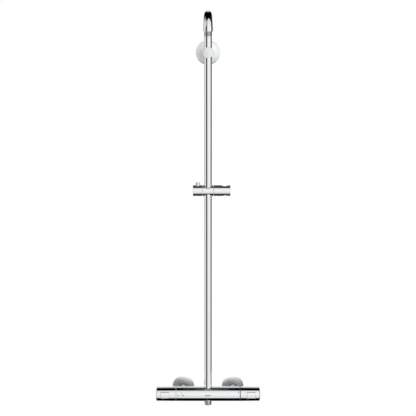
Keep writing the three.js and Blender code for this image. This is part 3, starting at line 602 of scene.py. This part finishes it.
def moved_on(bm, edges, shift):
    """Extrude an open loop of edges by a shift, and return the new loop."""
    grown = bmesh.ops.extrude_edge_only(bm, edges=edges)["geom"]
    verts = [part for part in grown if isinstance(part, bmesh.types.BMVert)]
    bmesh.ops.translate(bm, verts=verts, vec=shift)
    return [part for part in grown if isinstance(part, bmesh.types.BMEdge)]


def bent_wall(bm, radius):
    """One wall of the arm, as an open sleeve. Returns its two end loops."""
    start = Vector((0, RISER_Y, arm_low.z))
    circle = bmesh.ops.create_circle(bm, segments=64, radius=radius, matrix=Matrix.Translation(start))
    first = list({edge for vert in circle["verts"] for edge in vert.link_edges})
    rise = ARM_Z - REAR_BEND - arm_low.z
    loop = moved_on(bm, first, (0, 0, rise))
    loop_verts = list({vert for edge in loop for vert in edge.verts})
    bend = bmesh.ops.spin(bm, geom=loop_verts + loop, cent=(0, RISER_Y - REAR_BEND, ARM_Z - REAR_BEND),
                          axis=(1, 0, 0), dvec=(0, 0, 0), angle=math.radians(90), steps=BEND_STEPS,
                          use_merge=False, use_duplicate=False)["geom_last"]
    turned_loop = [part for part in bend if isinstance(part, bmesh.types.BMEdge)]
    last = moved_on(bm, turned_loop, (0, arm_low.y - (RISER_Y - REAR_BEND), 0))
    return first, last


arm_bm = bmesh.new()
outer_ends = bent_wall(arm_bm, RISER_RADIUS)
inner_ends = bent_wall(arm_bm, RISER_RADIUS - 1)
for outside, inside in zip(outer_ends, inner_ends):
    bmesh.ops.bridge_loops(arm_bm, edges=outside + inside)
bmesh.ops.recalc_face_normals(arm_bm, faces=arm_bm.faces[:])
piece("arm_tube_polished", arm_bm, "arm", CHROME, ["arm_tube"])

# %% [markdown]
# The outlet elbow is a casting that swells gently towards its mouth. It could be lofted from
# circles of different size, and that is nearly what happens: the section is turned a few degrees
# at a time round the bend, and after each step it is scaled about its own centre.

# %% Outlet elbow
elbow_low, elbow_high, elbow_middle = measure("arm_outlet_elbow")
FRONT_BEND = 38
MOUTH_RADIUS = (elbow_high.x - elbow_low.x) / 2
bend_y = OUTLET_Y + FRONT_BEND
bend_z = ARM_Z - FRONT_BEND
FLARE_TOP = ARM_Z - 4  # the swelling begins here


def elbow_radius(z):
    grown = min(max((FLARE_TOP - z) / (FLARE_TOP - bend_z), 0), 1)
    return RISER_RADIUS + (MOUTH_RADIUS - RISER_RADIUS) * grown


elbow_bm = bmesh.new()
elbow_start = Matrix.Translation((0, bend_y + 1.9, ARM_Z)) @ Matrix.Rotation(math.radians(90), 4, "X")
section = bmesh.ops.create_circle(elbow_bm, segments=72, radius=RISER_RADIUS, matrix=elbow_start)
back_rim = list({edge for vert in section["verts"] for edge in vert.link_edges})
loop = moved_on(elbow_bm, back_rim, (0, -1.9, 0))
ring_radius = RISER_RADIUS
for step in range(1, BEND_STEPS + 1):
    grown = bmesh.ops.extrude_edge_only(elbow_bm, edges=loop)["geom"]
    verts = [part for part in grown if isinstance(part, bmesh.types.BMVert)]
    loop = [part for part in grown if isinstance(part, bmesh.types.BMEdge)]
    small_turn = Matrix.Rotation(math.radians(90 / BEND_STEPS), 3, "X")
    bmesh.ops.rotate(elbow_bm, cent=(0, bend_y, bend_z), matrix=small_turn, verts=verts)
    middle = sum((vert.co for vert in verts), Vector()) / len(verts)
    next_radius = elbow_radius(middle.z)
    factor = next_radius / ring_radius
    bmesh.ops.scale(elbow_bm, vec=(factor,) * 3, space=Matrix.Translation(-middle), verts=verts)
    ring_radius = next_radius
for shift, shrink in (((0, 0, elbow_low.z + 0.5 - bend_z), 1), ((0, 0, -0.35), 0.985),
                      ((0, 0, -0.15), 0.975), ((0, 0, 0), 0.80), ((0, 0, 6), 1)):
    loop = moved_on(elbow_bm, loop, shift)
    verts = list({vert for edge in loop for vert in edge.verts})
    middle = sum((vert.co for vert in verts), Vector()) / len(verts)
    bmesh.ops.scale(elbow_bm, vec=(shrink,) * 3, space=Matrix.Translation(-middle), verts=verts)
bmesh.ops.contextual_create(elbow_bm, geom=loop)
bmesh.ops.contextual_create(elbow_bm, geom=back_rim)
bmesh.ops.recalc_face_normals(elbow_bm, faces=elbow_bm.faces[:])
piece("arm_outlet_elbow_polished", elbow_bm, "arm", CHROME, ["arm_outlet_elbow"])

# %% [markdown]
# The nipple at the arm's mouth takes the overhead shower's nut. It is a short bored stub with the
# thread round it and a small chamfer where the nut starts.

# %% Arm outlet nipple
nip_low, nip_high, nip_middle = measure("arm_outlet_nipple")


def nipple(bottom, top, thread_top, neck, bore):
    """A bored stub with a pipe thread near its lower end."""
    core = turned([(bottom, THREAD_MINOR - 0.1, 0.3), (thread_top, THREAD_MINOR - 0.1, 0),
                   (thread_top, neck, 0), (top, neck, 0.3), (top, bore, 0.2), (bottom, bore, 0.4)])
    return joined(core, thread(bottom + 0.9, thread_top))


arm_nipple = laid(nipple(nip_low.z, nip_high.z, 1059.5, 9.6, 7.5), "z", (0, OUTLET_Y, 0))
piece("arm_outlet_nipple_threaded", arm_nipple, "arm", GROOVE_SHADED_CHROME, ["arm_outlet_nipple"])

# %% [markdown]
# ## Cover plates
#
# The bracket and the two inlets each meet the wall under a spun cover: a thin dome with a short
# straight rim. Its crown is part of a sphere. Drawing the outline there and back gives the sheet
# its real thickness, so the hollow behind is real too.

# %% Helper: a domed cover
def cover(rim, edge, neck, height, hole, wall=1.2, count=14):
    """A domed cover standing on z = 0, with its outside towards +Z."""
    centre = (rim ** 2 + edge ** 2 - neck ** 2 - height ** 2) / (2 * (edge - height))
    size = math.hypot(rim, edge - centre)
    outline = [(0, rim, 0.2), (edge - 0.6, rim, 0.3)]
    for i in range(count + 1):
        radius = rim + (neck - rim) * i / count
        outline.append((centre + math.sqrt(size ** 2 - radius ** 2), radius, 0))
    outline.append((height, hole, 0.25))
    for i in range(count + 1):
        radius = hole + (rim - wall - hole) * i / count
        outline.append((min(centre + math.sqrt((size - wall) ** 2 - radius ** 2), height - wall), radius, 0))
    outline.append((0, rim - wall, 0))
    return turned(outline)


OFF_WALL = Matrix.Rotation(math.radians(90), 4, "X")


def on_wall(bm, x, z, gap=0.3):
    """Turn a cover so that it faces the viewer, and set it on the wall."""
    bmesh.ops.transform(bm, matrix=Matrix.Translation((x, -gap, z)) @ OFF_WALL, verts=bm.verts[:])
    return bm


for side, word in ((-1, "left"), (1, "right")):
    low, high, middle = measure(f"{word}_inlet_escutcheon")
    plate = on_wall(cover((high.x - low.x) / 2, 3.8, 14, high.y - low.y, 11.2), side * INLET_X, 0)
    # Their darker satin holds painted shade from the mixer in front of them.
    piece(f"{word}_inlet_cover_satin", plate, "root", SHADED_SATIN,
          [f"{word}_inlet_escutcheon"])
low, high, middle = measure("bracket_escutcheon")
plate = on_wall(cover((high.x - low.x) / 2, 2.5, 16.8, high.y - low.y, 15.8), 0, BRACKET_Z)
piece("bracket_cover_satin", plate, "root", SATIN, ["bracket_escutcheon"])

# %% [markdown]
# ## The wall bracket
#
# A stub bar stands out from the wall and the riser passes through it, so what the viewer sees is
# the bar's end, domed by about a millimetre. The hole is drilled with a Boolean. Bar and cover
# are brushed before they are plated, so they mirror nothing and only shade softly.

# %% Bracket holder
hold_low, hold_high, hold_middle = measure("bracket_holder")
HOLD_RADIUS = (hold_high.x - hold_low.x) / 2
CROWN = 1.2  # how far the end of the bar is domed
end_face = []
for i in range(9):
    end_face.append((hold_low.y + CROWN * (i / 8) ** 2, HOLD_RADIUS * i / 8, 0))
end_face[-1] = (hold_low.y + CROWN, HOLD_RADIUS, 0.7)
bar = laid(turned([*end_face, (hold_high.y, HOLD_RADIUS, 0.3), (hold_high.y, 0, 0)]), "y", (0, 0, BRACKET_Z))
bore = laid(rod(-25, 25, 12.6), "z", (0, RISER_Y, BRACKET_Z))
boss_hole = laid(rod(-23, 0, 9.4), "y", (0, 0, BRACKET_Z))
grub_hole = laid(rod(-20, -5, 2.2, steps=32), "z", (0, -16, BRACKET_Z))
bar = combined(bar, "DIFFERENCE", bore, boss_hole, grub_hole)
holder = piece("bracket_holder_satin", bar, "root", SATIN, ["bracket_holder"])
true_up(holder, [("y", (0, 0, BRACKET_Z), HOLD_RADIUS), ("z", (0, RISER_Y, BRACKET_Z), 12.6)])
bush = laid(sleeve(-9, 9, 12.3, 11.25, 0.4), "z", (0, RISER_Y, BRACKET_Z))
piece("bracket_bush_moulded", bush, "root", DARK_PLASTIC, ["bracket_bush"])

# %% [markdown]
# ## The hand shower slider
#
# A short bar across the riser, in three parts: the lock housing with its button, the middle housing
# on the riser, and a barrel that tilts and holds the hand shower in a tapered hole.

# %% Slider housings and barrel
house_low, house_high, house_middle = measure("slider_housing")
SLIDER_RADIUS = (house_high.z - house_low.z) / 2
SLIDER_AT = (0, RISER_Y, SLIDER_Z)
SLIDER_WALL = ("x", SLIDER_AT, SLIDER_RADIUS)

middle_bar = laid(rod(house_low.x, house_high.x, SLIDER_RADIUS, 0.5), "x", SLIDER_AT)
middle_bar = combined(middle_bar, "DIFFERENCE", laid(rod(-25, 25, 13.1), "z", SLIDER_AT),
                      laid(rod(-17, -10, 4.3, steps=48), "x", SLIDER_AT))
housing = piece("slider_housing_polished", middle_bar, "slider", CHROME, ["slider_housing"])
true_up(housing, [SLIDER_WALL, ("z", SLIDER_AT, 13.1)])

lock_low, lock_high, lock_middle = measure("slider_lock_housing")
cup = laid(turned([(lock_low.x, 0, 0), (lock_low.x, SLIDER_RADIUS, 0.9), (lock_high.x, SLIDER_RADIUS, 0.5),
                   (lock_high.x, 9, 0.2), (lock_low.x + 3.5, 9, 0), (lock_low.x + 3.5, 0, 0)]), "x", SLIDER_AT)
BUTTON_AT = (BUTTON_X, RISER_Y, SLIDER_Z)
cup = combined(cup, "DIFFERENCE", laid(rod(5, 25, 6.9, steps=64), "z", BUTTON_AT))
lock_case = piece("slider_lock_housing_polished", cup, "slider", CHROME, ["slider_lock_housing"])
true_up(lock_case, [SLIDER_WALL])

barrel_low, barrel_high, barrel_middle = measure("holder_barrel")
barrel = laid(turned([(barrel_low.x, SLIDER_RADIUS, 0.5), (barrel_high.x, SLIDER_RADIUS, 0.9),
                      (barrel_high.x, 0, 0), (30.4, 0, 0), (30.4, 6.4, 0), (19.4, 6.4, 0.2),
                      (19.4, 11.4, 0), (barrel_low.x, 11.4, 0.2)]), "x", SLIDER_AT)
SOCKET_X = 48.8
socket = laid(turned([(-17, 0, 0), (-17, 8.86, 0), (17, 11.34, 0), (17, 0, 0)]), "z",
              (SOCKET_X, RISER_Y, SLIDER_Z))
barrel = combined(barrel, "DIFFERENCE", socket)
holder = piece("holder_barrel_polished", barrel, "holder", CHROME, ["holder_barrel"])
true_up(holder, [SLIDER_WALL, ("z", (SOCKET_X, RISER_Y, SLIDER_Z), 10.1)])

# %% [markdown]
# The lock button is a plain round pin with a crisp edge. Under it sit a spring and a brake shoe,
# which nobody sees until the slider is taken apart.

# %% Slider button, bush and pivot
button_low, button_high, button_middle = measure("slide_lock_button")
base = button_low.z - SLIDER_Z
top = button_high.z - SLIDER_Z
knob = laid(turned([(base, 0, 0), (base, 4.4, 0.3), (8, 4.4, 0), (8, 6.6, 0.3), (top, 6.6, 0.9),
                    (top, 0, 0)]), "z", BUTTON_AT)
piece("slide_lock_button_polished", knob, "lock_button", CHROME, ["slide_lock_button"])
bush = laid(sleeve(-8.5, 8.5, 12.8, 11.25, 0.4), "z", SLIDER_AT)
piece("slider_bush_moulded", bush, "slider_carriage", DARK_PLASTIC, ["slider_bush"])
pivot_low, pivot_high, pivot_middle = measure("holder_pivot")
pivot = laid(turned([(pivot_low.x, 0, 0), (pivot_low.x, 11, 0.3), (17.4, 11, 0.3), (17.4, 6, 0),
                     (pivot_high.x, 6, 0.6), (pivot_high.x, 0, 0)]), "x", SLIDER_AT)
piece("holder_pivot_turned", pivot, "slider", STEEL, ["holder_pivot"])

# %% [markdown]
# ## The mixer casing
#
# A polished sleeve hides the brass valve body. It is drilled at the back for the inlets, on top
# for the riser and below for the hose nipple.

# %% Casing and hose nipple
case_low, case_high, case_middle = measure("thermostat_casing")
MIXER_RADIUS = (case_high.z - case_low.z) / 2
MIXER_AT = (0, RISER_Y, 0)
COVER_BORE = 19.2
casing = laid(sleeve(case_low.x, case_high.x, MIXER_RADIUS, COVER_BORE, 0.5, steps=128), "x", MIXER_AT)
holes = [laid(rod(5, 30, 13.8), "y", (side * INLET_X, RISER_Y, 0)) for side in (-1, 1)]
holes.append(laid(rod(5, 30, RISER_RADIUS + 0.35), "z", MIXER_AT))
holes.append(laid(rod(-30, -5, 9.6), "z", MIXER_AT))
casing = combined(casing, "DIFFERENCE", *holes)
case = piece("thermostat_casing_polished", casing, "root", CHROME, ["thermostat_casing"])
true_up(case, [("x", MIXER_AT, MIXER_RADIUS), ("x", MIXER_AT, COVER_BORE)])

hose_low, hose_high, hose_middle = measure("hose_outlet_nipple")
core = turned([(hose_low.z, THREAD_MINOR - 0.1, 0.4), (-23.2, THREAD_MINOR - 0.1, 0), (-23.2, 9, 0),
               (-19.1, 9, 0.2), (-19.1, 8, 0), (hose_high.z, 8, 0.3), (hose_high.z, 6, 0.2),
               (hose_low.z, 6, 0.5)])
hose = laid(joined(core, thread(hose_low.z + 1.0, -23.2)), "z", MIXER_AT)
piece("hose_outlet_nipple_threaded", hose, "root", GROOVE_SHADED_CHROME, ["hose_outlet_nipple"])

# %% [markdown]
# ## The handles
#
# Each handle is a chrome shell over a moulded core, closed by a shallow domed cap. A button for
# the safety stop looks out of a window in the shell and follows its curve. Both handles are the
# same part, so one function makes them, mirrored by the side that it is told.

# %% Helper: the button's rounded block
def rounded_block(width, height, corner, start, depth, steps=6):
    """A block with four rounded corners, drawn in X and Z, that grows along -Y from y = start."""
    bm = bmesh.new()
    bmesh.ops.create_cube(bm, size=1)
    bmesh.ops.scale(bm, vec=(width, depth, height), verts=bm.verts[:])
    bmesh.ops.translate(bm, vec=(0, start - depth / 2, 0), verts=bm.verts[:])
    uprights = [edge for edge in bm.edges if abs((edge.verts[0].co - edge.verts[1].co).normalized().y) > 0.9]
    bmesh.ops.bevel(bm, geom=uprights, offset=corner, offset_type="OFFSET", segments=steps,
                    profile=0.5, affect="EDGES", material=-1)
    bmesh.ops.recalc_face_normals(bm, faces=bm.faces[:])
    return bm


def curved_button(width, height, corner, start, radius):
    """The block again, but its outer face lies on a cylinder about X."""
    bm = rounded_block(width, height, corner, start, 30)
    strips = 24
    for i in range(1, strips):
        level = height * (i / strips - 0.5)
        bmesh.ops.bisect_plane(bm, geom=bm.verts[:] + bm.edges[:] + bm.faces[:], dist=1e-4,
                               plane_co=(0, 0, level), plane_no=(0, 0, 1))
    for vert in bm.verts:
        if vert.co.y < start - 20:
            vert.co.y = -math.sqrt(radius ** 2 - vert.co.z ** 2)
    rim = [edge for edge in bm.edges
           if sum(vert.co.y < start - 2 for vert in edge.verts) == 2
           and any(abs(face.normal.y) < 0.1 for face in edge.link_faces)
           and any(abs(face.normal.y) > 0.1 for face in edge.link_faces)]
    bmesh.ops.bevel(bm, geom=rim, offset=0.6, offset_type="OFFSET", segments=3, profile=0.5,
                    affect="EDGES", material=-1)
    bmesh.ops.recalc_face_normals(bm, faces=bm.faces[:])
    return bm


print("button: 25 by 20 mm, proud of the shell by about a millimetre")

# %% Handles
REBATE = 1.3  # the flow handle's seam ring lies this far over its inner end
REBATE_RADIUS = MIXER_RADIUS - 0.3
for side, word, out in ((-1, "temperature", "-x"), (1, "flow", "x")):
    shell_low, shell_high, shell_middle = measure(f"{word}_handle")
    near = min(abs(shell_low.x), abs(shell_high.x))
    far = max(abs(shell_low.x), abs(shell_high.x))
    stop_x = measure(f"{word}_stop_button")[2].x
    body = f"{word}_handle"
    start = [(near, MIXER_RADIUS, 0.5)]
    if word == "flow":
        start = [(near, REBATE_RADIUS, 0), (near + REBATE, REBATE_RADIUS, 0), (near + REBATE, MIXER_RADIUS, 0.1)]
    shell = laid(turned([*start, (far, 21.2, 0.25), (far, COVER_BORE, 0.1), (near, COVER_BORE, 0.2)],
                        steps=128), out, MIXER_AT)
    window = laid(rounded_block(26.0, 21.0, 3.0, -9, 18), "z", (stop_x, RISER_Y, 0))
    shell = combined(shell, "DIFFERENCE", window)
    handle = piece(f"{word}_handle_polished", shell, body, CHROME, [f"{word}_handle"])
    true_up(handle, [("x", MIXER_AT, MIXER_RADIUS - 0.2), ("x", MIXER_AT, COVER_BORE)])

    cap_low, cap_high, cap_middle = measure(f"{word}_cap")
    inner_end = min(abs(cap_low.x), abs(cap_high.x))
    crown_end = max(abs(cap_low.x), abs(cap_high.x))
    seat = far + 0.3
    crown = [(inner_end, 0, 0), (inner_end, 18.8, 0.3), (seat, 18.8, 0)]
    for i in range(13):
        a = math.pi / 2 * i / 12
        crown.append((seat + (crown_end - seat) * math.sin(a), 21.1 * math.cos(a), 0))
    crown[-1] = (crown_end, 0, 0)
    cap = laid(turned(crown), out, MIXER_AT)
    piece(f"{word}_cap_polished", cap, body, CHROME, [f"{word}_cap"])

    button = curved_button(25, 20, 2.5, -13.6, 22.6)
    flange = rounded_block(27, 22, 2.2, -13.6, 1.8)
    button = laid(joined(button, flange), "z", (stop_x, RISER_Y, 0))
    made = piece(f"{word}_stop_button_polished", button, f"{word}_button", CHROME,
                 [f"{word}_stop_button"])
    true_up(made, [("x", MIXER_AT, 22.6)])

# %% [markdown]
# ## Inlets
#
# Behind the casing, a hexagon nut pulls each inlet neck onto its wall union. A nut is a hexagon
# prism that shares its space with a turned blank, which puts the round chamfers on its corners.

# %% Union nuts and wall unions
for side, word in ((-1, "left"), (1, "right")):
    nut_low, nut_high, nut_middle = measure(f"{word}_union_nut")
    start, end = nut_low.y - RISER_Y, nut_high.y - RISER_Y
    across = 30
    prism = bmesh.new()
    bmesh.ops.create_cone(prism, cap_ends=True, segments=6, radius1=across / math.sqrt(3),
                          radius2=across / math.sqrt(3), depth=end - start)
    bmesh.ops.translate(prism, vec=(0, 0, (start + end) / 2), verts=prism.verts[:])
    blank = turned([(start, 0, 0), (start, 15.6, 0), (start + 1.3, 17.6, 0), (end - 1.3, 17.6, 0),
                    (end, 15.6, 0), (end, 0, 0)])
    bore = turned([(start - 1, 0, 0), (start - 1, 13.6, 0), (34, 13.6, 0), (34, 10.9, 0),
                   (end + 1, 10.9, 0), (end + 1, 0, 0)])
    at = (side * INLET_X, RISER_Y, 0)
    nut = laid(combined(combined(prism, "INTERSECT", blank), "DIFFERENCE", bore), "y", at)
    piece(f"{word}_union_nut_polished", nut, "root", CHROME, [f"{word}_union_nut"], sharp=20)

    union_low, union_high, union_middle = measure(f"{word}_wall_union")
    first, last = union_low.y - RISER_Y, union_high.y - RISER_Y
    tail = turned([(first, 12.6, 0.3), (33.7, 12.6, 0.3), (33.7, 10.5, 0), (60, 10.5, 0),
                   (60, 11.8, 0.3), (66, 11.8, 0.3), (66, THREAD_MINOR - 0.1, 0),
                   (last, THREAD_MINOR - 0.1, 0.4), (last, 7.5, 0.3), (first, 7.5, 0.3)])
    tail = laid(joined(tail, thread(66.1, last - 1, major=10.18)), "y", at)
    piece(f"{word}_wall_union_threaded", tail, "root", GROOVE_SHADED_CHROME, [f"{word}_wall_union"])

# %% [markdown]
# ## Seams and marks
#
# Where a handle meets the casing there is a gap of a millimetre, with a plastic ring behind it.
# On the flow side the ring is black and lies in a shallow rebate of the handle, so it shows as a
# thin dark line.

# %% Seam rings
flow_start = measure("flow_handle")[0].x
dark = laid(sleeve(case_high.x + 0.15, flow_start + REBATE - 0.05, MIXER_RADIUS - 0.03,
                   REBATE_RADIUS + 0.03, 0.1, steps=128), "x", MIXER_AT)
piece("flow_seam_ring", dark, "flow_handle", DARK_PLASTIC)
pale = laid(sleeve(case_high.x + 0.1, case_high.x + 0.8, MIXER_RADIUS - 0.7, COVER_BORE + 0.3, 0.1, steps=128),
            "-x", MIXER_AT)
piece("temperature_seam_ring", pale, "root", WHITE_PLASTIC)

# %% [markdown]
# The marks are printed on the finished chrome: a scale with the bath temperature, a red index
# line, and a blank grey tab in the middle. A printed bar on a round wall is a small rectangle
# swung part of the way round the axis.

# %% Helper: a printed bar
PRINT_RADIUS = MIXER_RADIUS + 0.03


def printed_bar(first_x, last_x, first_angle, last_angle, steps=6):
    """A thin bar on the mixer's front; angles are degrees above the middle of the front."""
    bm = bmesh.new()
    lift = Matrix.Translation(((first_x + last_x) / 2, 0, PRINT_RADIUS - 0.05))
    shape = lift @ Matrix.Rotation(math.radians(90), 4, "X") @ Matrix.Diagonal((last_x - first_x, 0.1, 1, 1))
    bmesh.ops.create_grid(bm, x_segments=1, y_segments=1, size=0.5, matrix=shape)
    start = Matrix.Rotation(math.radians(90 - first_angle), 4, "X")
    bmesh.ops.transform(bm, matrix=start, verts=bm.verts[:])
    bmesh.ops.spin(bm, geom=bm.verts[:] + bm.edges[:] + bm.faces[:], cent=(0, 0, 0), axis=(1, 0, 0),
                   dvec=(0, 0, 0), angle=math.radians(first_angle - last_angle), steps=steps,
                   use_merge=False, use_duplicate=False)
    bmesh.ops.recalc_face_normals(bm, faces=bm.faces[:])
    return laid(bm, "z", MIXER_AT)


def printed_text(text, size, middle_x, angle):
    """Numbers from the built-in font, cut into strips and wrapped round the mixer."""
    curve = bpy.data.curves.new("numbers", "FONT")
    curve.body = text
    curve.size = size
    curve.align_x = "CENTER"
    curve.align_y = "CENTER"
    curve.extrude = 0.05
    curve.resolution_u = 3
    held = bpy.data.objects.new("numbers", curve)
    scene_objects.link(held)
    bm = bmesh.new()
    bm.from_mesh(held.evaluated_get(bpy.context.evaluated_depsgraph_get()).to_mesh())
    bpy.data.objects.remove(held)
    bpy.data.curves.remove(curve)
    bmesh.ops.remove_doubles(bm, verts=bm.verts[:], dist=1e-4)
    strips = 8
    for i in range(strips + 1):
        level = size * (i / strips - 0.5)
        bmesh.ops.bisect_plane(bm, geom=bm.verts[:] + bm.edges[:] + bm.faces[:], dist=1e-5,
                               plane_co=(0, level, 0), plane_no=(0, 1, 0))
    for vert in bm.verts:
        up = math.radians(angle) + vert.co.y / PRINT_RADIUS
        radius = PRINT_RADIUS - 0.05 + vert.co.z
        vert.co = (middle_x + vert.co.x, -radius * math.cos(up), radius * math.sin(up))
    bmesh.ops.recalc_face_normals(bm, faces=bm.faces[:])
    return laid(bm, "z", MIXER_AT)


# %% Printed marks
piece("red_index_line", printed_bar(-78.9, -78.1, 30, 4), "root", RED_ENAMEL)
piece("bath_temperature_number", printed_text("38", 6.0, -88.6, 2.6), "root", GREY_ENAMEL)
piece("bath_temperature_tab", printed_bar(-76.0, -70.5, 6.0, 0), "root", GREY_ENAMEL)
piece("blank_name_tab", printed_bar(-9.5, 8.0, 6.0, 0), "root", GREY_ENAMEL)
piece("flow_index_tab", printed_bar(89.5, 91.2, 33, 20), "root", GREY_ENAMEL)

# %% Aim the panels
MIXER_PIECES = [name + "_polished" for name in (
    "thermostat_casing", "temperature_handle", "flow_handle", "temperature_cap", "flow_cap",
    "temperature_stop_button", "flow_stop_button")]
INLET_COVERS = ["left_inlet_cover_satin", "right_inlet_cover_satin"]


def lights(lamp_name, names, state="INCLUDE"):
    """Let a panel light only these pieces, or with EXCLUDE everything but these."""
    group = bpy.data.collections.new(lamp_name + "_reach")
    for name in names:
        group.objects.link(bpy.data.objects[name])
    for member in group.collection_objects:
        member.light_linking.link_state = state
    bpy.data.objects[lamp_name].light_linking.receiver_collection = group


lights("mixer_back_panel", MIXER_PIECES)
lights("mixer_top_panel", MIXER_PIECES)
lights("elbow_front_panel", ["arm_outlet_elbow_polished"])
lights("bracket_left_panel", ["bracket_cover_satin"])
lights("inlet_rear_panel", INLET_COVERS)
lights("overhead_panel", INLET_COVERS, "EXCLUDE")

# %% [markdown]
# ## Hidden parts
#
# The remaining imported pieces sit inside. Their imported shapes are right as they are, so they only
# get the finish that their material has.

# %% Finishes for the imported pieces
BY_SLOT = {"chrome": CHROME, "satin_chrome": SATIN, "brass": BRASS, "steel": STEEL, "copper": COPPER, "rubber": RUBBER,
           "white_plastic": WHITE_PLASTIC, "dark_plastic": DARK_PLASTIC, "ceramic": CERAMIC}
slot_of = {row["node"]: row["material_slot"] for row in frame["record"]["subparts"]}
for name, packed in frame["nodes"].items():
    packed.data.materials.clear()
    packed.data.materials.append(BY_SLOT[slot_of[name]])
print(len(frame["nodes"]), "packed pieces have their finish")
